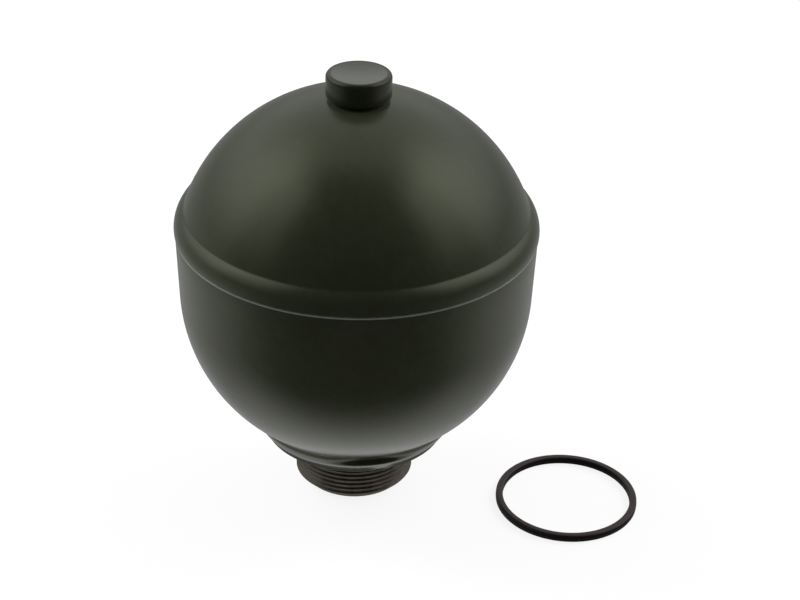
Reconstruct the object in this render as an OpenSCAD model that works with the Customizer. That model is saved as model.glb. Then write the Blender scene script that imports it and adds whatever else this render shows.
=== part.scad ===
// Diaphragm accumulator: two welded steel half shells with a threaded oil port
// below, a gas filler plug on top and a rubber diaphragm between gas and oil.
// It stands on the end of its neck; its port seal lies beside it.

/* [Port neck] */
// Major radius of the neck's outside thread
thread_r = 17.5; // [15:0.5:19]
// Length of the neck from its end face to the seat face under the collar
neck_len = 17.2; // [13:0.1:24]
// Chamfer on the neck's end
end_chamfer = 2.5; // [1:0.1:3.5]
// Width of the thread relief under the collar
relief_w = 2.4; // [2.1:0.1:3]
// Depth of the thread relief
relief_d = 1.2; // [0.6:0.1:2]
// Radius of the oil bore
port_r = 9; // [6:0.5:11]
// Chamfer at the upper mouth of the oil bore
port_chamfer = 1; // [0.3:0.1:1.5]
// Radius of the collar's upper edge, which carries the shell
collar_r = 30.5; // [29.5:0.1:33.5]
// Height of the collar from its seat face to the shell
collar_h = 7.4; // [7:0.1:10]
// Outer radius of the seat face under the collar
seat_r = 26.3; // [22:0.1:28]
// Radius of the collar's rim
rim_r = 30.4; // [29:0.1:31]
// Height of the collar's tapered lower part
taper_h = 4.5; // [3:0.1:5.2]
// Radius of the hollow weld between the collar's rim and the shell
weld_round = 1.1; // [0.8:0.1:2.2]
// Width of the collar's shoulder under the shell
shoulder_w = 4.5; // [3.5:0.1:5.5]

/* [Oil shell] */
// Outer radius of the shell's round bottom
shell_r = 50.9; // [48:0.1:60]
// Wall thickness of both shells
shell_t = 4; // [3.4:0.1:5.5]
// Height of the skirt from the middle of the round bottom to the joint
skirt_h = 18.4; // [16:0.1:30]
// Outward lean of the skirt, in degrees
skirt_draft = 2.2; // [0:0.1:3]
// Height of the spigot that enters the gas shell
spigot_h = 3; // [2:0.1:3.6]
// Wall of the spigot
spigot_t = 1.5; // [1:0.1:1.9]
// Width of the shoulder that the diaphragm's bead sits on
groove_w = 1.4; // [1:0.1:1.8]

/* [Gas shell] */
// Height of the belt round the joint
belt_h = 7.9; // [7.4:0.1:10]
// Step of the belt beyond the oil shell
belt_step = 0.3; // [0.2:0.05:1.5]
// Rounding of the belt's upper edge
belt_round = 7; // [5:0.1:7.5]
// Rounding of the belt's lower edge
belt_edge = 0.25; // [0.05:0.05:0.3]
// Width of the belt from its outside to the dome
ledge_w = 3.4; // [3:0.05:4.5]
// Hollow rounding between the belt and the dome
ledge_fillet = 2.4; // [1:0.1:3.5]
// Rise of the dome above the belt
dome_rise = 32.5; // [28:0.1:44]
// Radius of the boss inside the dome that takes the filler plug
boss_r = 11; // [9:0.1:15]
// Depth of that boss below the inside of the dome
boss_h = 3; // [1:0.1:6]

/* [Diaphragm] */
// Thickness of the rubber
diaphragm_t = 2; // [1.4:0.1:3]
// Gap between the resting diaphragm and the oil shell
diaphragm_gap = 0.4; // [0.3:0.1:1]
// Height of the clamped bead
bead_h = 3.5; // [2.5:0.1:5]
// Height of the steel ring that holds the bead down
ring_h = 4.5; // [3:0.1:7]

/* [Closing button] */
// Lap of the button over the edge of the oil bore
button_lap = 5; // [3:0.1:8]
// Thickness of the button
button_t = 2; // [1.5:0.1:3]
// Radius of the stem through the diaphragm
stem_r = 3; // [2:0.1:4]
// Radius of the clamping plate on the gas side
plate_r = 10; // [7:0.1:14]
// Thickness of the clamping plate
plate_t = 1.5; // [1:0.1:3]
// Radius of the stem's riveted head
rivet_r = 5; // [4.5:0.1:6.5]
// Height of the riveted head
rivet_h = 1.8; // [1:0.1:3]

/* [Filler plug] */
// Radius of the plug's round head
plug_r = 9.2; // [8.8:0.05:12]
// Height of the head
plug_h = 7.4; // [4:0.1:10]
// Rounding of the head's upper edge
plug_round = 1; // [0.3:0.1:1.1]
// Chamfer under the head
plug_chamfer = 0.8; // [0.2:0.1:0.8]
// Width of the raised rim round the head's top face
plug_rim = 1.2; // [1.1:0.1:3]
// Depth of the dished top face inside the rim
dish_d = 0.55; // [0.1:0.05:0.8]
// Radius of the threaded shank
shank_r = 6; // [4:0.1:6.5]
// Width of the plug's seal ring
plug_seal_w = 1.8; // [1:0.1:2]
// Thickness of the plug's seal ring
plug_seal_t = 1; // [0.6:0.1:2]
// Lap of the head over the rim of its seal's recess
spot_lap = 0.9; // [0.8:0.1:1.1]
// Depth of that recess at its rim
spot_depth = 0.85; // [0.5:0.05:1.5]

/* [Port seal] */
// Clearance of the seal ring over the thread
seal_clear = 1.4; // [0.5:0.1:2]
// Width of the seal ring's section
seal_w = 2.15; // [1.5:0.05:3]
// Height of the seal ring's section
seal_h = 2.3; // [1.5:0.05:3]
// Rounding of the section's corners
seal_round = 0.5; // [0.2:0.05:0.7]
// Place of the loose seal ring to the side of the neck
seal_x = 63.6; // [56:0.5:90]
// Place of the loose seal ring in front of the neck, negative towards the front
seal_y = -15.7; // [-40:0.1:40]

/* [Fits] */
// Radial clearance between a piece and what it is located in
fit = 0.1; // [0.05:0.05:0.2]
// Clearance in height where a piece is stopped and not clamped
stop_gap = 0.2; // [0.1:0.1:0.4]

/* [Hidden] */
$fn = 144;

// A cut reaches this far past the surface that it opens
past = 1;

// Half width of a circle at a height above its centre
function chord(radius, height) = sqrt(radius * radius - height * height);

// Radius of the ball whose cap has a given half width and rise
function cap_radius(half_width, rise) = (half_width * half_width + rise * rise) / (2 * rise);

// Point at given distances from two others, on the left of the way from the first to the second
function meet(first, first_d, second, second_d) =
    let (
        way = second - first,
        span = norm(way),
        along = (first_d * first_d - second_d * second_d + span * span) / (2 * span)
    )
    first + (way * along + [-way.y, way.x] * chord(first_d, along)) / span;

// Point on the way from one point to another at a distance from the first
function towards(first, second, distance) = first + (second - first) * distance / norm(second - first);

// Neck and oil shell, from the end face upwards
shoulder_z = neck_len + collar_h;
hole_r = collar_r - shoulder_w;
oil_in_r = shell_r - shell_t;
oil_mid_z = shoulder_z + chord(shell_r, collar_r);
neck_top_z = oil_mid_z - chord(oil_in_r, hole_r);
weld_mid = [
    collar_r * (shell_r + weld_round) / shell_r,
    oil_mid_z + (shoulder_z - oil_mid_z) * (shell_r + weld_round) / shell_r
];
skirt_foot_z = oil_mid_z - shell_r * sin(skirt_draft);
joint_z = oil_mid_z + skirt_h;
skirt_r = (shell_r + skirt_h * sin(skirt_draft)) / cos(skirt_draft);
spigot_top_z = joint_z + spigot_h;
groove_r = oil_in_r + groove_w;
spigot_r = groove_r + spigot_t;

// Gas shell
belt_r = skirt_r + belt_step;
belt_top_z = joint_z + belt_h;
dome_foot_r = belt_r - ledge_w;
dome_r = cap_radius(dome_foot_r, dome_rise);
dome_top_z = belt_top_z + dome_rise;
dome_mid_z = dome_top_z - dome_r;
dome_mid = [0, dome_mid_z];
belt_mid = [belt_r - belt_round, belt_top_z - belt_round];
ledge_mid = meet(dome_mid, dome_r + ledge_fillet, belt_mid, belt_round + ledge_fillet);
gas_in_r = dome_r - shell_t;
gas_stop_z = spigot_top_z + stop_gap;
boss_z = dome_mid_z + gas_in_r - boss_h;

// Diaphragm and its clamp
groove_z = spigot_top_z - ring_h - bead_h;
bead_top_z = groove_z + bead_h;
rubber_r = oil_in_r - diaphragm_gap;

// Closing button, resting just above the neck
button_r = port_r + button_lap;
button_z = neck_top_z + stop_gap;
button_top_z = button_z + button_t;
pad_top_z = button_top_z + diaphragm_t;
plate_top_z = pad_top_z + plate_t;
rivet_top_z = plate_top_z + rivet_h;
rivet_ball_r = cap_radius(rivet_r, rivet_h);

// Filler plug
spot_r = plug_r - spot_lap;
spot_z = dome_mid_z + chord(dome_r, spot_r) - spot_depth;
head_z = spot_z + plug_seal_t;
head_top_z = head_z + plug_h;
dish_r = plug_r - plug_rim;
dish_ball_r = cap_radius(dish_r, dish_d);

// Port seal
seal_in_r = thread_r + seal_clear;

// Turns a profile of radius and height into a solid
module turned() {
    rotate_extrude() children();
}

// Profile of a cylinder from one height to another
module slug(radius, z_low, z_high) {
    ring(0, radius, z_low, z_high);
}

// Profile of a plain ring
module ring(r_in, r_out, z_low, z_high) {
    polygon([[r_in, z_low], [r_out, z_low], [r_out, z_high], [r_in, z_high]]);
}

// Profile of a ball
module ball(radius, z_mid) {
    intersection() {
        translate([0, z_mid]) circle(radius);
        slug(radius, z_mid - radius, z_mid + radius);
    }
}

// Profile of a ball in the oil shell's round bottom that goes on upwards as a cylinder
module bowl(radius, z_high) {
    ball(radius, oil_mid_z);
    slug(radius, oil_mid_z, z_high);
}

// Cutter that rounds an outer edge; lower edges have side 1, upper edges side -1
module edge_rounding(radius, z_edge, rounding, side) {
    difference() {
        translate([radius - rounding, side > 0 ? z_edge - past : z_edge - rounding])
            square(rounding + past);
        translate([radius - rounding, z_edge + side * rounding]) circle(rounding);
    }
}

// Hollow rounding that leads from the belt's round upper edge into the dome
module ledge_blend() {
    difference() {
        polygon([
            belt_mid,
            towards(belt_mid, ledge_mid, belt_round),
            ledge_mid,
            towards(dome_mid, ledge_mid, dome_r)
        ]);
        translate(ledge_mid) circle(ledge_fillet);
    }
}

// Turned steel neck: thread, relief, seat face, collar and spigot, bored through
module port_neck() {
    color([0.25, 0.23, 0.21]) turned() difference() {
        polygon([
            [port_r, 0],
            [thread_r - end_chamfer, 0],
            [thread_r, end_chamfer],
            [thread_r, neck_len - relief_w],
            [thread_r - relief_d, neck_len - relief_w],
            [thread_r - relief_d, neck_len],
            [seat_r, neck_len],
            [rim_r, neck_len + taper_h],
            [collar_r, shoulder_z],
            [hole_r - fit, shoulder_z],
            [hole_r - fit, neck_top_z],
            [port_r + port_chamfer, neck_top_z],
            [port_r, neck_top_z - port_chamfer]
        ]);
        translate(weld_mid) circle(weld_round);
    }
}

// Drawn steel bottom shell with its skirt, bead groove and spigot
module oil_shell() {
    color([0.24, 0.26, 0.22]) turned() difference() {
        union() {
            intersection() {
                ball(shell_r, oil_mid_z);
                slug(shell_r, shoulder_z, oil_mid_z);
            }
            polygon([
                [0, skirt_foot_z],
                [shell_r * cos(skirt_draft), skirt_foot_z],
                [skirt_r, joint_z],
                [0, joint_z]
            ]);
            slug(spigot_r, skirt_foot_z, spigot_top_z);
        }
        bowl(oil_in_r, spigot_top_z + past);
        slug(groove_r, groove_z, spigot_top_z + past);
        slug(hole_r, shoulder_z - past, oil_mid_z);
    }
}

// Drawn steel dome with its belt, inner boss and recessed plug hole
module gas_shell() {
    color([0.28, 0.30, 0.25]) turned() difference() {
        union() {
            intersection() {
                ball(dome_r, dome_mid_z);
                slug(dome_r, joint_z, dome_top_z);
            }
            difference() {
                slug(belt_r, joint_z, belt_top_z);
                edge_rounding(belt_r, belt_top_z, belt_round, -1);
                edge_rounding(belt_r, joint_z, belt_edge, 1);
            }
            ledge_blend();
        }
        difference() {
            ball(gas_in_r, dome_mid_z);
            slug(boss_r, boss_z, dome_top_z);
        }
        slug(spigot_r + fit, joint_z - past, gas_stop_z);
        slug(shank_r + fit, boss_z - past, dome_top_z);
        slug(spot_r, spot_z, dome_top_z + past);
    }
}

// Moulded rubber bowl with its clamped bead, thick pad and pocket for the button
module diaphragm() {
    color([0.10, 0.10, 0.10]) turned() difference() {
        union() {
            intersection() {
                bowl(rubber_r, bead_top_z);
                slug(shell_r, button_z, bead_top_z);
            }
            slug(groove_r - fit, groove_z, bead_top_z);
        }
        difference() {
            bowl(rubber_r - diaphragm_t, bead_top_z + past);
            slug(shell_r, button_z - past, pad_top_z);
        }
        slug(button_r + fit, button_z - past, button_top_z);
        slug(stem_r + fit, button_z, pad_top_z + past);
    }
}

// Steel band that holds the diaphragm's bead down in its groove
module retaining_ring() {
    color([0.62, 0.62, 0.60]) turned() ring(oil_in_r, groove_r - fit, bead_top_z, spigot_top_z);
}

// Steel disc that closes the oil bore, with its stem and riveted head
module closing_button() {
    color([0.66, 0.66, 0.65]) turned() {
        slug(button_r, button_z, button_top_z);
        slug(stem_r, button_z, plate_top_z);
        intersection() {
            ball(rivet_ball_r, rivet_top_z - rivet_ball_r);
            slug(rivet_ball_r, plate_top_z, rivet_top_z + past);
        }
    }
}

// Steel washer that clamps the diaphragm's pad onto the button
module button_plate() {
    color([0.60, 0.60, 0.58]) turned() ring(stem_r + fit, plate_r, pad_top_z, plate_top_z);
}

// Gas filler plug with a dished round head and a threaded shank
module filler_plug() {
    color([0.20, 0.21, 0.18]) turned() difference() {
        union() {
            difference() {
                polygon([
                    [0, head_z],
                    [plug_r - plug_chamfer, head_z],
                    [plug_r, head_z + plug_chamfer],
                    [plug_r, head_top_z],
                    [0, head_top_z]
                ]);
                edge_rounding(plug_r, head_top_z, plug_round, -1);
            }
            slug(shank_r, boss_z + stop_gap, head_z + plug_chamfer);
        }
        ball(dish_ball_r, head_top_z - dish_d + dish_ball_r);
    }
}

// Flat seal ring under the filler plug's head
module plug_seal() {
    color([0.09, 0.09, 0.09]) turned()
        ring(shank_r + fit, shank_r + fit + plug_seal_w, spot_z, head_z);
}

// Rubber ring that seals the seat face, shown lying beside the neck
module port_seal() {
    seal_out_r = seal_in_r + seal_w;
    color([0.13, 0.11, 0.11]) translate([seal_x, seal_y]) turned() difference() {
        ring(seal_in_r, seal_out_r, 0, seal_h);
        for (side = [1, -1]) {
            edge_z = side > 0 ? 0 : seal_h;
            edge_rounding(seal_out_r, edge_z, seal_round, side);
            translate([seal_in_r + seal_out_r, 0]) mirror([1, 0])
                edge_rounding(seal_out_r, edge_z, seal_round, side);
        }
    }
}

port_neck();
oil_shell();
gas_shell();
diaphragm();
retaining_ring();
closing_button();
button_plate();
filler_plug();
plug_seal();
port_seal();
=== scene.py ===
import math

import bpy
from mathutils import Matrix, Vector


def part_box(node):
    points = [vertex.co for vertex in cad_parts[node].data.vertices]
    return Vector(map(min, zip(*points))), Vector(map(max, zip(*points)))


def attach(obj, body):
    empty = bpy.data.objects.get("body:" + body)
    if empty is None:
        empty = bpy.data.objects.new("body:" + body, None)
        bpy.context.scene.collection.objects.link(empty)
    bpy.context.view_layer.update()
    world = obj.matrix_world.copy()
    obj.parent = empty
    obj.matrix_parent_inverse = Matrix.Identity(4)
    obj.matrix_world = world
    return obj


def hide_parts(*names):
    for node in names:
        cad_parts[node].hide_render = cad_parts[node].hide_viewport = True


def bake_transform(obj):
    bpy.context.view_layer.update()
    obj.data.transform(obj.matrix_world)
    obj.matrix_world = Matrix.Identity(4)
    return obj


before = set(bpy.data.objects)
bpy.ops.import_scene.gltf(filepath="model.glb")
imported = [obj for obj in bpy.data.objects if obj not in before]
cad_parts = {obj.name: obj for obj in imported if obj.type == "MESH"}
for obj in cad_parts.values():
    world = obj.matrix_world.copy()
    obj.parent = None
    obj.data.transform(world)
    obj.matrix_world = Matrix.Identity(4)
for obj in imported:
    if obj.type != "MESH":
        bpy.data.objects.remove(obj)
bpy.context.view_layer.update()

# The view. A long lens half a metre in front of the accumulator looks down on
# it, so that the dome, the belt, the neck and the loose seal ring all show.
mm = 0.001
eye = Vector((0, -503.5 * mm, 351.2 * mm))

# Angles of the camera in radians.
look_down = 0.525
look_right = 0.0254
head_tilt = 0.026

forward = Vector((
    math.sin(look_right) * math.cos(look_down),
    math.cos(look_right) * math.cos(look_down),
    -math.sin(look_down),
))
level = Vector((math.cos(look_right), -math.sin(look_right), 0))
upright = level.cross(forward)
right = level * math.cos(head_tilt) + upright * math.sin(head_tilt)
above = upright * math.cos(head_tilt) - level * math.sin(head_tilt)

lens = bpy.data.cameras.new("camera")
lens.sensor_width = 36
lens.lens = 90
lens.clip_start = 10 * mm
lens.clip_end = 100
camera = bpy.data.objects.new("camera", lens)
camera.matrix_world = Matrix((
    (right.x, above.x, -forward.x, eye.x),
    (right.y, above.y, -forward.y, eye.y),
    (right.z, above.z, -forward.z, eye.z),
    (0, 0, 0, 1),
))
bpy.context.scene.collection.objects.link(camera)
bpy.context.scene.camera = camera
bpy.context.scene.view_settings.view_transform = "Standard"


# The studio. A white paper floor, a tall soft box on either side and a paler wall
# behind light the part; the front is dark, as behind a camera.
class Wire:
    """A socket of a node tree. Sums and products of wires add Math nodes."""

    def __init__(self, socket):
        self.socket = socket

    @staticmethod
    def node(tree, kind, settings=None, sockets=None, out=0):
        """A new node with its settings and what feeds its sockets; gives one of its outputs."""
        made = tree.nodes.new(kind)
        for name, value in (settings or {}).items():
            setattr(made, name, value)
        for name, value in (sockets or {}).items():
            socket = Wire.pick(made.inputs, name)
            if isinstance(value, Wire):
                tree.links.new(value.socket, socket)
            else:
                socket.default_value = value
        return Wire(Wire.pick(made.outputs, out)) if made.outputs else None

    @staticmethod
    def pick(sockets, name):
        """A socket by its identifier, or else by its name or number."""
        found = [socket for socket in sockets if socket.identifier == name]
        return found[0] if found else sockets[name]

    def beside(self, kind, settings, sockets, out=0):
        """A new node in the same tree as this wire."""
        return Wire.node(self.socket.id_data, kind, settings, sockets, out)

    def maths(self, operation, first, second):
        """A Math node on two wires or numbers."""
        return self.beside("ShaderNodeMath", {"operation": operation}, {0: first, 1: second})

    def __add__(self, other):
        return self.maths("ADD", self, other)

    def __radd__(self, other):
        return self.maths("ADD", other, self)

    def __sub__(self, other):
        return self.maths("SUBTRACT", self, other)

    def __rsub__(self, other):
        return self.maths("SUBTRACT", other, self)

    def __mul__(self, other):
        return self.maths("MULTIPLY", self, other)

    def __rmul__(self, other):
        return self.maths("MULTIPLY", other, self)

    def rise(self, low, high):
        """0 below low and 1 above high, smooth between them."""
        limits = {"Value": self, "From Min": low, "From Max": high}
        return self.beside("ShaderNodeMapRange", {"interpolation_type": "SMOOTHSTEP"}, limits)

    def tint(self, low_colour, high_colour):
        """The colour between two at this wire's value."""
        colours = {"Factor_Float": self, "A_Color": low_colour, "B_Color": high_colour}
        return self.beside("ShaderNodeMix", {"data_type": "RGBA"}, colours, "Result_Color")

    def axis(self, name):
        """One coordinate of a vector."""
        return self.beside("ShaderNodeSeparateXYZ", {}, {"Vector": self}, name)

    def stretched(self, factors):
        """A vector with each coordinate multiplied by a number of its own."""
        return self.beside("ShaderNodeVectorMath", {"operation": "MULTIPLY"}, {0: self, 1: factors})

    def length(self):
        """The length of a vector."""
        return self.beside("ShaderNodeVectorMath", {"operation": "LENGTH"}, {0: self}, "Value")


white = (1, 1, 1, 1)


def ray(tree, kind):
    """1 for one kind of ray, such as the camera's own, and 0 for all others."""
    return Wire.node(tree, "ShaderNodeLightPath", out=f"Is {kind} Ray")


def flat(place):
    """A place brought down to the level of the origin."""
    return place.stretched((1, 1, 0))


def heading(place):
    """The level unit vector towards a place."""
    return place.beside("ShaderNodeVectorMath", {"operation": "NORMALIZE"}, {0: flat(place)})


# Levels are strengths of light. A pair holds the two ends of a smooth edge, in parts
# of a unit vector: a height of 0 is the horizon and 1 is overhead.
front_level = 0.03
wall_level = 0.72
wall_side = (-0.2, 0.12)
wall_foot = (-0.3, 0.5)
wall_top = (0.6, 1)
wall_top_loss = 0.25
box_level = 1.27
box_side = (0.16, 1.1)
box_foot = (0, 0.8)
box_top = (0.8, 0.97)
box_front = (-0.75, -0.35)
box_back_loss = 0.25
box_right_gain = 0.05

world = bpy.data.worlds.new("studio")
world.use_nodes = True
bpy.context.scene.world = world
sky = world.node_tree
sky.nodes.clear()
direction = Wire.node(sky, "ShaderNodeTexCoord", out="Generated")
sky_height = direction.axis("Z")
sky_side = heading(direction).axis("X")
sky_back = heading(direction).axis("Y")
wall = wall_level * direction.axis("Y").rise(*wall_side) * sky_height.rise(*wall_foot)
wall = wall * (1 - wall_top_loss * sky_height.rise(*wall_top))
box = box_level * (sky_side * sky_side).rise(*box_side) * sky_height.rise(*box_foot)
box = box * (1 - sky_height.rise(*box_top)) * sky_back.rise(*box_front)
box = box * (1 - box_back_loss * sky_back) * (1 + box_right_gain * sky_side)
sky_seen = ray(sky, "Camera")
sky_level = sky_seen + (1 - sky_seen) * (front_level + wall + box)
backdrop = Wire.node(sky, "ShaderNodeBackground", {}, {"Color": white, "Strength": sky_level})
Wire.node(sky, "ShaderNodeOutputWorld", {}, {"Surface": backdrop})

# The camera sees the paper nearly white. In reflections the paper glows with painted
# light: paler near the part and at its sides, with a painted pool of light in front of
# the neck and painted shade right at the neck.
floor_half = 20
floor_drop = 0.05 * mm
floor_corners = ((-1, -1), (1, -1), (1, 1), (-1, 1))
paper_grey = (0.7, 0.7, 0.7, 1)
seen_level = 1.12
seen_share = 0.78
open_level = 0.27
open_front = (-0.95, -0.1)
near_gain = 0.26
near_end = (60 * mm, 120 * mm)
side_gain = 0.3
side_start = (60 * mm, 130 * mm)
side_loss = 0.22
side_end = (180 * mm, 360 * mm)
pool_level = 1.01
pool_side = (0, 1.1)
pool_front = (-95 * mm, -30 * mm)
pool_end = (60 * mm, 150 * mm)
neck_shade = (12 * mm, 21 * mm)

floor_mesh = bpy.data.meshes.new("floor")
floor_mesh.from_pydata(
    [(x * floor_half, y * floor_half, -floor_drop) for x, y in floor_corners],
    [],
    [(0, 1, 2, 3)],
)
floor = bpy.data.objects.new("floor", floor_mesh)
bpy.context.scene.collection.objects.link(floor)
paper = bpy.data.materials.new("paper")
paper.use_nodes = True
floor_mesh.materials.append(paper)
sheet = paper.node_tree
sheet.nodes.clear()
floor_place = Wire.node(sheet, "ShaderNodeTexCoord", out="Object")
floor_reach = floor_place.length()
floor_side = heading(floor_place).axis("X")
floor_back = heading(floor_place).axis("Y")
# Painted light: the paper's glow as reflections see it, paler near the part and at its sides.
painted_floor_light = open_level + near_gain * (1 - floor_reach.rise(*near_end))
painted_side_light = side_gain * floor_reach.rise(*side_start) - side_loss * floor_reach.rise(*side_end)
painted_floor_light = painted_floor_light + floor_side * floor_side * painted_side_light
painted_floor_light = front_level + painted_floor_light * floor_back.rise(*open_front)
# A painted pool of light on the paper in front of the neck.
painted_pool = pool_level * (0 - floor_back).rise(*pool_side) * floor_place.axis("Y").rise(*pool_front)
painted_pool = painted_pool * (1 - floor_reach.rise(*pool_end))
seen = ray(sheet, "Camera")
mirrored = (ray(sheet, "Glossy") + ray(sheet, "Transmission")).rise(0, 1) * (1 - seen)
# Painted shade right at the neck darkens the glow that reflections see.
glow_level = seen_level * seen + mirrored * (painted_floor_light + painted_pool) * floor_reach.rise(*neck_shade)
matt = Wire.node(sheet, "ShaderNodeBsdfDiffuse", {}, {"Color": paper_grey})
glow = Wire.node(sheet, "ShaderNodeEmission", {}, {"Color": white, "Strength": glow_level})
glow_share = seen_share * seen + mirrored
top_face = Wire.node(sheet, "ShaderNodeMixShader", {}, {0: glow_share, 1: matt, 2: glow})
Wire.node(sheet, "ShaderNodeOutputMaterial", {}, {"Surface": top_face})

lamp_width = 0.7
lamp_aim = Vector((0, 0, 60 * mm))


def side_lamp(name, place, power):
    """A square lamp of a power in watts, which faces the part and shows in no reflection."""
    lamp = bpy.data.lights.new(name, "AREA")
    lamp.size = lamp_width
    lamp.energy = power
    holder = bpy.data.objects.new(name, lamp)
    holder.location = place
    holder.rotation_euler = (lamp_aim - holder.location).to_track_quat("-Z", "Y").to_euler()
    holder.visible_glossy = False
    bpy.context.scene.collection.objects.link(holder)


side_lamp("lamp_left", (-0.9, 0.35, 0.8), 9)
side_lamp("lamp_right", (0.9, 0.45, 0.8), 7)


# The port neck: a turned steel stub with a right-hand M35 x 1.5 thread, welded
# under the oil shell. Its collar is painted with the shell, its thread is bare.

# All turned meshes have the same number of columns, and a sharp edge where two faces
# meet at more than the crease angle. A radius below the axis' width is a point on it.
around = 192
axis_width = 0.0001 * mm
crease_angle = math.radians(38)


def arc(mid_r, mid_z, radius, first, last, steps):
    """Points of radius and height on a circle, from one angle to another in degrees."""
    points = []
    for step in range(steps + 1):
        angle = math.radians(first + (last - first) * step / steps)
        points.append((mid_r + radius * math.cos(angle), mid_z + radius * math.sin(angle)))
    return points


def angle_at(radius, rise):
    """Angle in degrees of the point of a circle at a height above its centre."""
    return math.degrees(math.asin(rise / radius))


def softened(corners, steps=5, leg_share=0.48):
    """A closed outline; a corner with a third number is rounded to that radius, if its legs allow."""
    points = []
    for index, corner in enumerate(corners):
        here = Vector(corner[:2])
        if len(corner) == 2:
            points.append(tuple(here))
            continue
        back = Vector(corners[index - 1][:2]) - here
        ahead = Vector(corners[(index + 1) % len(corners)][:2]) - here
        half = back.angle(ahead) / 2
        reach = min(corner[2] / math.tan(half), leg_share * back.length, leg_share * ahead.length)
        start = here + back.normalized() * reach
        end = here + ahead.normalized() * reach
        middle = here + (back.normalized() + ahead.normalized()).normalized() * reach / math.cos(half)
        radius = (start - middle).length
        for step in range(steps + 1):
            spoke = (start - middle).slerp(end - middle, step / steps)
            points.append(tuple(middle + spoke.normalized() * radius))
    return points


def turned(name, outline, trim=None, centre=(0, 0)):
    """A closed mesh turned from an outline; trim gives the radius at a height and angle."""
    centre_x, centre_y = centre
    vertices = []
    rows = []
    for radius, height in outline:
        if radius < axis_width:
            rows.append([len(vertices)] * around)
            vertices.append((centre_x, centre_y, height))
            continue
        rows.append([len(vertices) + column for column in range(around)])
        for column in range(around):
            angle = 2 * math.pi * column / around
            out = trim(radius, height, angle) if trim else radius
            x = centre_x + out * math.cos(angle)
            y = centre_y + out * math.sin(angle)
            vertices.append((x, y, height))
    faces = []
    for low, high in zip(rows, rows[1:] + rows[:1]):
        for column in range(around):
            after = (column + 1) % around
            corners = [low[column], low[after], high[after], high[column]]
            face = list(dict.fromkeys(corners))
            if len(face) > 2:
                faces.append(face)
    mesh = bpy.data.meshes.new(name)
    mesh.from_pydata(vertices, [], faces)
    mesh.validate()
    mesh.shade_smooth()
    mesh.set_sharp_from_angle(angle=crease_angle)
    piece = bpy.data.objects.new(name, mesh)
    bpy.context.scene.collection.objects.link(piece)
    return piece


def noise(place, scale, detail=2):
    """Smooth random values about 0.5, with a number of cells a metre."""
    sockets = {"Vector": place, "Scale": scale, "Detail": detail}
    return place.beside("ShaderNodeTexNoise", {"noise_dimensions": "3D"}, sockets)


def bumps(height, depth):
    """A surface normal from heights of 0 to 1 and the depth in metres that 1 stands for."""
    return height.beside("ShaderNodeBump", {}, {"Height": height, "Distance": depth}, "Normal")


def finish(name):
    """A new material, and the wire of the place on its piece in metres."""
    material = bpy.data.materials.new(name)
    material.use_nodes = True
    material.node_tree.nodes.clear()
    return material, Wire.node(material.node_tree, "ShaderNodeTexCoord", out="Object")


def dress(piece, material, sockets):
    """Closes a material with a shader fed by wires and constants, and puts it on a piece."""
    shader = Wire.node(material.node_tree, "ShaderNodeBsdfPrincipled", {}, sockets)
    Wire.node(material.node_tree, "ShaderNodeOutputMaterial", {}, {"Surface": shader})
    piece.data.materials.append(material)


olive_dark = (0.021, 0.025, 0.013, 1)
olive_pale = (0.030, 0.035, 0.019, 1)
olive_sheen = (0.92, 1.0, 0.74, 1)


def paint(place, dark, pale):
    """Colour, roughness and height of satin paint with a fine orange peel."""
    drift = noise(place, 30, 3)
    mottle = noise(place, 420, 3)
    peel = noise(place, 900, 1)
    grain = noise(place, 4500, 2)
    tone = 0.55 * drift + 0.25 * mottle + 0.2 * grain
    colour = tone.rise(0.3, 0.7).tint(dark, pale)
    roughness = 0.18 + 0.08 * mottle + 0.05 * grain
    height = 0.9 * peel + 0.1 * grain
    return colour, roughness, height


# The neck's sizes, from the port up. The clearance is that of all pieces that slide in.
clearance = 0.1 * mm
neck_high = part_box("port_neck")[1]
port_r = 9 * mm
port_chamfer = 1 * mm
thread_r = 17.5 * mm
thread_depth = 0.55 * mm
pitch = 1.5 * mm
rows_a_pitch = 14
crest_end = 0.07
root_start = 0.42
end_chamfer = 2.5 * mm
seat_z = 17.2 * mm
relief_z = seat_z - 2.4 * mm
relief_r = thread_r - 1.2 * mm
relief_taper = 0.4 * mm
land_r = 26.8 * mm
land_z = seat_z + 1.0 * mm
bulge_r = 28.8 * mm
bulge_z = seat_z + 3.2 * mm
side_z = seat_z + 5.6 * mm
shoulder_z = seat_z + 7.4 * mm
collar_r = neck_high.x
hole_r = collar_r - 4.5 * mm
shell_r = 50.9 * mm
bowl_z = shoulder_z + math.sqrt(shell_r ** 2 - collar_r ** 2)
row_gap = 0.5 * mm

# The weld is a hollow fillet that touches the shell and the collar's side.
weld_round = 1.1 * mm
weld_mid = Vector((0, bowl_z)) + Vector((collar_r, shoulder_z - bowl_z)) * (1 + weld_round / shell_r)
weld_angle = angle_at(shell_r, shoulder_z - bowl_z)

# The weld dips at the front, and a run of paint marks the land beside it. Angles are
# in degrees about the axis.
dip_angle = -80
dip_half_width = 28
dip_depth = 2.2 * mm
dip_foot = (land_z + 2.4 * mm, land_z + 4.2 * mm)
dip_top = (shoulder_z - 0.3 * mm, shoulder_z - 0.05 * mm)
run_angle = -72
run_half_width = 9
run_depth = 0.7 * mm
on_shell = 0.02 * mm
off_thread = 1 * mm


def near(angle, middle, half_width):
    """1 at an angle about the axis and 0 a number of degrees away, smooth between them."""
    away = abs((math.degrees(angle) - middle + 180) % 360 - 180) / half_width
    return 0.5 + 0.5 * math.cos(math.pi * min(away, 1))


def step_up(value, low, high):
    """0 below low and 1 above high, smooth between them."""
    share = min(max((value - low) / (high - low), 0), 1)
    return share * share * (3 - 2 * share)


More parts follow.
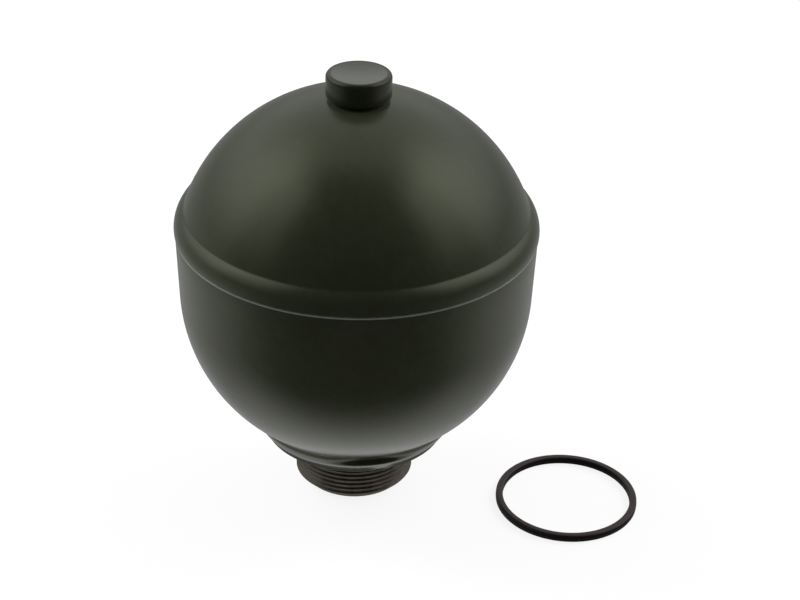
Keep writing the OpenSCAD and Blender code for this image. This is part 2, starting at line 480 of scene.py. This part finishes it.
def neck_trim(radius, height, angle):
    """Radius of the neck: the thread below its relief, and the dip and run in the collar."""
    in_shell = math.hypot(radius, height - bowl_z) < shell_r + on_shell
    if radius < relief_r - clearance or in_shell:
        return radius
    if height > land_z:
        dip = step_up(height, *dip_foot) * (1 - step_up(height, *dip_top))
        return radius - dip_depth * near(angle, dip_angle, dip_half_width) * dip
    if radius > relief_r + off_thread and height > relief_z:
        run = near(angle, run_angle, run_half_width)
        return radius - run_depth * run * (land_z - height) / (land_z - seat_z)
    turn = (height / pitch - angle / (2 * math.pi)) % 1
    fall = step_up(min(turn, 1 - turn), crest_end, root_start)
    return min(radius, thread_r - thread_depth * fall)


def spaced(points, gap):
    """An outline with points added so that none lies further than a gap from the next."""
    dense = []
    for here, ahead in zip(points, points[1:] + points[:1]):
        pieces = max(1, math.ceil(math.dist(here, ahead) / gap))
        for piece in range(pieces):
            dense.append(tuple(Vector(here).lerp(Vector(ahead), piece / pieces)))
    return dense


thread_rows = int(relief_z / pitch * rows_a_pitch)
thread = []
for row in range(thread_rows + 1):
    row_z = relief_z * row / thread_rows
    thread.append((min(thread_r, thread_r - end_chamfer + row_z), row_z))
neck_outline = softened([
    (port_r, 0, 0.15 * mm),
    *thread,
    (relief_r, relief_z + relief_taper, 0.3 * mm),
    (relief_r, seat_z, 0.4 * mm),
    (land_r, seat_z, 0.25 * mm),
    (land_r, land_z, 0.4 * mm),
    (bulge_r, bulge_z, 6 * mm),
    (weld_mid.x - weld_round, side_z, 3 * mm),
    *arc(*weld_mid, weld_round, 180, 180 + weld_angle, 8),
    (hole_r - clearance, shoulder_z, 0.1 * mm),
    (hole_r - clearance, neck_high.z, 0.3 * mm),
    (port_r + port_chamfer, neck_high.z, 0.1 * mm),
    (port_r, neck_high.z - port_chamfer, 0.1 * mm),
])
neck = turned("neck", spaced(neck_outline, row_gap), neck_trim)
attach(neck, "housing")
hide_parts("port_neck")

# The thread is bare and brown. From its relief up to the paint the steel is near black:
# dark bare steel with painted shade under the collar. The paint ends on the land in a
# wavy edge with the run below it.
bare_dark = (0.061, 0.053, 0.047, 1)
bare_pale = (0.137, 0.120, 0.106, 1)
shaded_steel_black = (0.018, 0.016, 0.014, 1)
relief_edge = 0.8 * mm
lathe_stretch = (60, 60, 5200)
paint_wave = 0.8 * mm
paint_edge = 0.2 * mm
run_length = 1.4 * mm
run_left = (4 * mm, 7 * mm)
run_right = (9 * mm, 13 * mm)
run_front = (0, 5 * mm)

neck_finish, place = finish("painted_and_phosphated_steel")
coat, coat_roughness, coat_height = paint(place, olive_dark, olive_pale)
stain = noise(place, 260, 4)
speck = noise(place, 3000, 2)
lathe = noise(place.stretched(lathe_stretch), 1, 2)
bare = (0.6 * stain + 0.4 * speck).rise(0.3, 0.72).tint(bare_dark, bare_pale)
height = place.axis("Z")
across = place.axis("X")
paint_run = across.rise(*run_left) * (1 - across.rise(*run_right))
paint_run = paint_run * (0 - place.axis("Y")).rise(*run_front)
paint_line = height + paint_wave * (stain - 0.5) + run_length * paint_run
painted = paint_line.rise(land_z - paint_edge, land_z + paint_edge)
# Painted shade: the neck under the collar is near black from the relief up to the paint.
steel_dark_and_shaded = height.rise(relief_z, relief_z + relief_edge)
relief = painted * 0.4 * coat_height + (1 - painted) * (0.6 * lathe + 0.4 * speck)
dress(neck, neck_finish, {
    "Base Color": painted.tint(steel_dark_and_shaded.tint(bare, shaded_steel_black), coat),
    "Roughness": painted * coat_roughness + (1 - painted) * (0.34 + 0.2 * stain),
    "Metallic": 0.85 * (1 - steel_dark_and_shaded),
    "Specular Tint": olive_sheen,
    "Normal": bumps(relief, 0.02 * mm),
})


# The oil shell: a deep-drawn steel bowl with a slightly flared skirt, seated on
# the neck's collar. Its spigot enters the gas shell above; the outside is painted.
shell_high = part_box("oil_shell")[1]
shell_t = 4 * mm
skirt_r = shell_high.x
skirt_draft = math.radians(2.2)
skirt_foot_z = bowl_z - shell_r * math.sin(skirt_draft)
skirt_foot_r = shell_r * math.cos(skirt_draft)
joint_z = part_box("gas_shell")[0].z
joint_round = 0.5 * mm
bowl_r = shell_r - shell_t
bowl_end = angle_at(shell_r, skirt_foot_z - bowl_z)
inside_start = -2
inside_end = angle_at(bowl_r, neck_high.z - bowl_z)
groove_r = bowl_r + 1.4 * mm
groove_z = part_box("diaphragm")[1].z - 3.5 * mm
spigot_r = groove_r + 1.5 * mm

# Two points on the straight skirt keep its shading even.
skirt = [
    (skirt_foot_r + share * (skirt_r - skirt_foot_r), skirt_foot_z + share * (joint_z - skirt_foot_z))
    for share in (0.25, 0.75)
]
bowl = turned("oil_shell_skin", softened([
    (hole_r, shoulder_z, 0.1 * mm),
    *arc(0, bowl_z, shell_r, weld_angle, bowl_end, 48),
    *skirt,
    (skirt_r, joint_z, joint_round),
    (spigot_r, joint_z, 0.1 * mm),
    (spigot_r, shell_high.z, 0.2 * mm),
    (groove_r, shell_high.z, 0.2 * mm),
    (groove_r, groove_z, 0.2 * mm),
    (bowl_r, groove_z, 0.2 * mm),
    (bowl_r, bowl_z),
    *arc(0, bowl_z, bowl_r, inside_start, inside_end, 48),
]))
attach(bowl, "housing")
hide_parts("oil_shell")

# A thin pale line along the skirt's upper edge is a painted highlight, where the edge catches light.
peel_depth = 0.006 * mm
highlight_dark = (0.16, 0.17, 0.145, 1)
highlight_pale = (0.27, 0.285, 0.25, 1)
highlight_foot = (joint_z - 0.75 * mm, joint_z - 0.5 * mm)
highlight_top = (joint_z, joint_z + 0.05 * mm)
olive, place = finish("olive_paint")
coat, coat_roughness, coat_height = paint(place, olive_dark, olive_pale)
height = place.axis("Z")
# Painted highlight: a pale band just under the joint.
highlight_edge = height.rise(*highlight_foot) * (1 - height.rise(*highlight_top))
highlight_colour = noise(place, 420, 3).tint(highlight_dark, highlight_pale)
dress(bowl, olive, {
    "Base Color": highlight_edge.tint(coat, highlight_colour),
    "Roughness": coat_roughness,
    "Specular Tint": olive_sheen,
    "Normal": bumps(coat_height, peel_depth),
})


# The closing button: a turned steel disc that rests over the oil bore, with a
# stem through the diaphragm that is riveted over its clamping plate.
button_low, button_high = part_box("closing_button")
plate_low, plate_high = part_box("button_plate")
button_r = button_high.x
button_top_z = button_low.z + 2 * mm
stem_r = 3 * mm
rivet_r = 5 * mm
rivet_h = button_high.z - plate_high.z
rivet_ball_r = (rivet_r ** 2 + rivet_h ** 2) / (2 * rivet_h)
rivet_z = button_high.z - rivet_ball_r
button = turned("button", softened([
    (0, button_low.z),
    (button_r, button_low.z, 0.5 * mm),
    (button_r, button_top_z, 0.3 * mm),
    (stem_r, button_top_z, 0.2 * mm),
    (stem_r, plate_high.z, 0.05 * mm),
    *arc(0, rivet_z, rivet_ball_r, angle_at(rivet_ball_r, plate_high.z - rivet_z), 90, 10),
]))
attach(button, "button")
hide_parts("closing_button")

steel_dark = (0.46, 0.45, 0.43, 1)
steel_pale = (0.58, 0.58, 0.57, 1)


def off_axis(place):
    """The distance of a place from the axis."""
    return flat(place).length()


def turned_steel(piece, name):
    """Bare steel with fine lathe rings about the axis and a faint stain."""
    material, place = finish(name)
    rings = place.beside("ShaderNodeCombineXYZ", {}, {"X": off_axis(place), "Z": place.axis("Z")})
    grooves = noise(rings, 5000, 2)
    stain = noise(place, 150, 4)
    dress(piece, material, {
        "Base Color": stain.rise(0.3, 0.75).tint(steel_dark, steel_pale),
        "Roughness": 0.26 + 0.2 * stain + 0.1 * grooves,
        "Metallic": 1,
        "Normal": bumps(grooves, 0.01 * mm),
    })


turned_steel(button, "button_steel")


# The button's plate: a stamped steel washer on the gas side of the diaphragm,
# held down by the riveted stem.
plate = turned("plate", softened([
    (stem_r + clearance, plate_low.z, 0.1 * mm),
    (plate_high.x, plate_low.z, 0.2 * mm),
    (plate_high.x, plate_high.z, 0.4 * mm),
    (stem_r + clearance, plate_high.z, 0.1 * mm),
]))
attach(plate, "button")
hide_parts("button_plate")
turned_steel(plate, "plate_steel")


# The diaphragm: a moulded rubber bowl that parts the gas from the oil. Its bead
# is clamped at the shells' joint and its middle is clamped between button and plate.
rubber_low, rubber_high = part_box("diaphragm")
rubber_r = bowl_r - 0.4 * mm
rubber_t = 2 * mm
rubber_foot = angle_at(rubber_r, rubber_low.z - bowl_z)
inside_r = rubber_r - rubber_t
pad_z = plate_low.z
rib_count = 12
rib_steps = 60
rib_depth = 0.25 * mm
ribs = []
for step in range(rib_steps + 1):
    share = step / rib_steps
    angle = math.radians(angle_at(inside_r, pad_z - bowl_z) * share)
    wave = rib_depth * (0.5 - 0.5 * math.cos(2 * math.pi * rib_count * share))
    ribs.append(((inside_r + wave) * math.cos(angle), bowl_z + (inside_r + wave) * math.sin(angle)))
membrane = turned("membrane", softened([
    (stem_r + clearance, button_top_z, 0.1 * mm),
    (button_r + clearance, button_top_z, 0.2 * mm),
    (button_r + clearance, rubber_low.z, 0.3 * mm),
    *arc(0, bowl_z, rubber_r, rubber_foot, 0, 48),
    (rubber_r, groove_z, 0.1 * mm),
    (rubber_high.x, groove_z, 0.3 * mm),
    (rubber_high.x, rubber_high.z, 0.3 * mm),
    (inside_r, rubber_high.z, 0.4 * mm),
    *ribs,
    (stem_r + clearance, pad_z, 0.1 * mm),
]))
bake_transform(membrane)
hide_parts("diaphragm")


def rubber(place):
    """Patches of bloom, roughness and bump of moulded rubber with a fine skin."""
    bloom = noise(place, 220, 4)
    skin = noise(place, 3500, 3)
    patches = (0.7 * bloom + 0.3 * skin).rise(0.35, 0.75)
    return patches, 0.42 + 0.2 * bloom, bumps(skin, 0.02 * mm)


def plain_rubber(piece, name, dark, pale):
    """Dull moulded rubber between a dark and a paler tone."""
    material, place = finish(name)
    patches, roughness, skin = rubber(place)
    dress(piece, material, {
        "Base Color": patches.tint(dark, pale),
        "Roughness": roughness,
        "Specular IOR Level": 0.3,
        "Normal": skin,
    })


plain_rubber(membrane, "membrane_rubber", (0.012, 0.012, 0.012, 1), (0.026, 0.026, 0.025, 1))


# The retaining ring: a rolled steel band pressed into the spigot, which holds
# the diaphragm's bead down in its groove.
band_low, band_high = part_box("retaining_ring")
band_round = 0.25 * mm
band = turned("retaining_band", softened([
    (bowl_r, band_low.z, band_round),
    (band_high.x, band_low.z, band_round),
    (band_high.x, band_high.z, band_round),
    (bowl_r, band_high.z, band_round),
]))
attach(band, "housing")
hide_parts("retaining_ring")
turned_steel(band, "band_steel")


# The gas shell: a drawn steel dome whose foot swells into a rounded belt over the
# joint, welded to the oil shell. Its top is recessed for the plug's seal; painted.
stop_gap = 0.2 * mm
belt_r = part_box("gas_shell")[1].x
belt_round = 7 * mm
belt_mid = Vector((belt_r - belt_round, joint_z + 0.9 * mm))
belt_start = -5
belt_tuck = 0.3 * mm
foot_r = belt_r - 3.4 * mm
dome_rise = 32.5 * mm
dome_r = (foot_r ** 2 + dome_rise ** 2) / (2 * dome_rise)
dome_z = belt_mid.y + belt_round + dome_rise - dome_r
spot_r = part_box("filler_plug")[1].x - 0.9 * mm
spot_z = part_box("plug_seal")[0].z
dome_end = math.degrees(math.acos(spot_r / dome_r))
shank_r = 6 * mm
plug_hole_r = shank_r + clearance
boss_r = 11 * mm
boss_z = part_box("filler_plug")[0].z - stop_gap
vault_r = dome_r - shell_t
vault_foot_z = shell_high.z + stop_gap
vault_top = math.degrees(math.acos(boss_r / vault_r))
vault_foot = angle_at(vault_r, vault_foot_z - dome_z)

# The hollow between belt and dome touches both circles.
hollow_round = 1.2 * mm
dome_reach = dome_r + hollow_round
belt_reach = belt_round + hollow_round
way = belt_mid - Vector((0, dome_z))
way_along = (dome_reach ** 2 - belt_reach ** 2 + way.length_squared) / (2 * way.length)
way_aside = math.sqrt(dome_reach ** 2 - way_along ** 2)
hollow = Vector((0, dome_z)) + (way * way_along + Vector((-way.y, way.x)) * way_aside) / way.length
belt_end = math.degrees(math.atan2(hollow.y - belt_mid.y, hollow.x - belt_mid.x))
dome_start = math.degrees(math.atan2(hollow.y - dome_z, hollow.x))
dome = turned("gas_shell_skin", softened([
    (spigot_r + clearance, joint_z, 0.1 * mm),
    (skirt_r - belt_tuck, joint_z, 0.05 * mm),
    *arc(*belt_mid, belt_round, belt_start, belt_end, 17),
    *arc(*hollow, hollow_round, belt_end + 180, dome_start + 180, 8)[1:],
    *arc(0, dome_z, dome_r, dome_start, dome_end, 64)[1:],
    (spot_r, spot_z, 0.1 * mm),
    (plug_hole_r, spot_z, 0.2 * mm),
    (plug_hole_r, boss_z, 0.2 * mm),
    (boss_r, boss_z, 0.4 * mm),
    *arc(0, dome_z, vault_r, vault_top, vault_foot, 56),
    (spigot_r + clearance, vault_foot_z, 0.1 * mm),
]))
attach(dome, "housing")
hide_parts("gas_shell")
dome.data.materials.append(olive)


# The plug seal: a flat moulded ring squeezed between the filler plug's head and
# the recess in the dome.
gasket_low, gasket_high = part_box("plug_seal")
gasket = turned("plug_gasket", softened([
    (plug_hole_r, gasket_low.z, 0.2 * mm),
    (gasket_high.x, gasket_low.z, 0.3 * mm),
    (gasket_high.x, gasket_high.z, 0.3 * mm),
    (plug_hole_r, gasket_high.z, 0.2 * mm),
]))
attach(gasket, "housing")
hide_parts("plug_seal")
plain_rubber(gasket, "gasket_rubber", (0.012, 0.011, 0.011, 1), (0.024, 0.022, 0.021, 1))


# The filler plug: a turned screw with a smooth round head that closes the gas
# filling hole, painted over together with the dome.
plug_low, plug_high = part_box("filler_plug")
plug_r = plug_high.x
head_z = gasket_high.z
head_lip_z = head_z + 0.3 * mm
head_side_z = head_z + 0.9 * mm
rim = 1.2 * mm
dish_r = plug_r - rim
dish_d = 0.7 * mm
dish_ball_r = (dish_r ** 2 + dish_d ** 2) / (2 * dish_d)
dish_z = plug_high.z - dish_d + dish_ball_r
dish_start = -90 + angle_at(dish_ball_r, 0.97 * dish_r)

# A bead of paint closes the gap between the head and the dome.
bead_in_r = spot_r + 0.05 * mm
bead_out_r = plug_r - 0.6 * mm
bead_z = dome_z + math.sqrt(dome_r ** 2 - bead_in_r ** 2) + 0.01 * mm
plug = turned("plug", softened([
    (0, plug_low.z),
    (shank_r, plug_low.z, 0.6 * mm),
    (shank_r, head_z, 0.1 * mm),
    (bead_in_r, head_z),
    (bead_in_r, bead_z),
    (bead_out_r, bead_z),
    (bead_out_r, head_lip_z, 0.25 * mm),
    (plug_r, head_side_z, 0.5 * mm),
    *arc(dish_r, plug_high.z - rim, rim, 0, 90, 10),
    *arc(0, dish_z, dish_ball_r, dish_start, -90, 12),
]))
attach(plug, "housing")
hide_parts("filler_plug")

# The head is darker than the dome, and its dish has a glossier skin of paint.
head_dark = (0.012, 0.015, 0.008, 1)
head_pale = (0.018, 0.021, 0.011, 1)
gloss_edge = (dish_r - 0.5 * mm, dish_r)
plug_finish, place = finish("plug_olive_paint")
coat, coat_roughness, coat_height = paint(place, head_dark, head_pale)
dress(plug, plug_finish, {
    "Base Color": coat,
    "Roughness": coat_roughness - 0.06,
    "Specular IOR Level": 0.4,
    "Specular Tint": olive_sheen,
    "Coat Weight": 0.8 * (1 - off_axis(place).rise(*gloss_edge)),
    "Coat Roughness": 0.25,
    "Normal": bumps(coat_height, peel_depth),
})


# The port seal: a moulded rubber ring of rounded square section that goes over
# the thread against the collar; it lies on the floor beside the neck.
seal_low, seal_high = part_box("port_seal")
seal_mid = (seal_low + seal_high) / 2
seal_out_r = (seal_high.x - seal_low.x) / 2
seal_in_r = seal_out_r - 2.15 * mm
seal_round = 0.5 * mm

# The mould's parting line runs round the middle of both walls.
flash = 0.05 * mm
flash_low_z = seal_mid.z - 2 * flash
flash_high_z = seal_mid.z + 2 * flash
seal = turned("seal_ring", softened([
    (seal_in_r + flash, seal_low.z, seal_round),
    (seal_out_r - flash, seal_low.z, seal_round),
    (seal_out_r - flash, flash_low_z),
    (seal_out_r, seal_mid.z),
    (seal_out_r - flash, flash_high_z),
    (seal_out_r - flash, seal_high.z, seal_round),
    (seal_in_r + flash, seal_high.z, seal_round),
    (seal_in_r + flash, flash_high_z),
    (seal_in_r, seal_mid.z),
    (seal_in_r + flash, flash_low_z),
]), centre=(seal_mid.x, seal_mid.y))
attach(seal, "housing")
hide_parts("port_seal")

# The ring isn't mirrored in the painted bowl above it.
seal.visible_glossy = False

# The ring's upper face is a paler brown than its walls: a brown bloom with painted light
# from above, and some sheen. Its walls are matt black.
wall_dark = (0.004, 0.004, 0.004, 1)
wall_pale = (0.008, 0.008, 0.008, 1)
lit_bloom_dark = (0.022, 0.012, 0.010, 1)
lit_bloom_pale = (0.038, 0.024, 0.021, 1)
face_edge = (seal_high.z - 0.5 * mm, seal_high.z - 0.1 * mm)
ring_rubber, place = finish("ring_rubber")
patches, ring_roughness, ring_skin = rubber(place)
# Painted light: the upper face is paler than the walls because it faces up.
lit_upper_face = place.axis("Z").rise(*face_edge)
wall_black = patches.tint(wall_dark, wall_pale)
bloom_and_top_light = patches.tint(lit_bloom_dark, lit_bloom_pale)
dress(seal, ring_rubber, {
    "Base Color": lit_upper_face.tint(wall_black, bloom_and_top_light),
    "Roughness": ring_roughness,
    "Specular IOR Level": 0.08,
    "Coat Weight": 0.6 * lit_upper_face,
    "Coat Roughness": 0.4,
    "Normal": ring_skin,
})
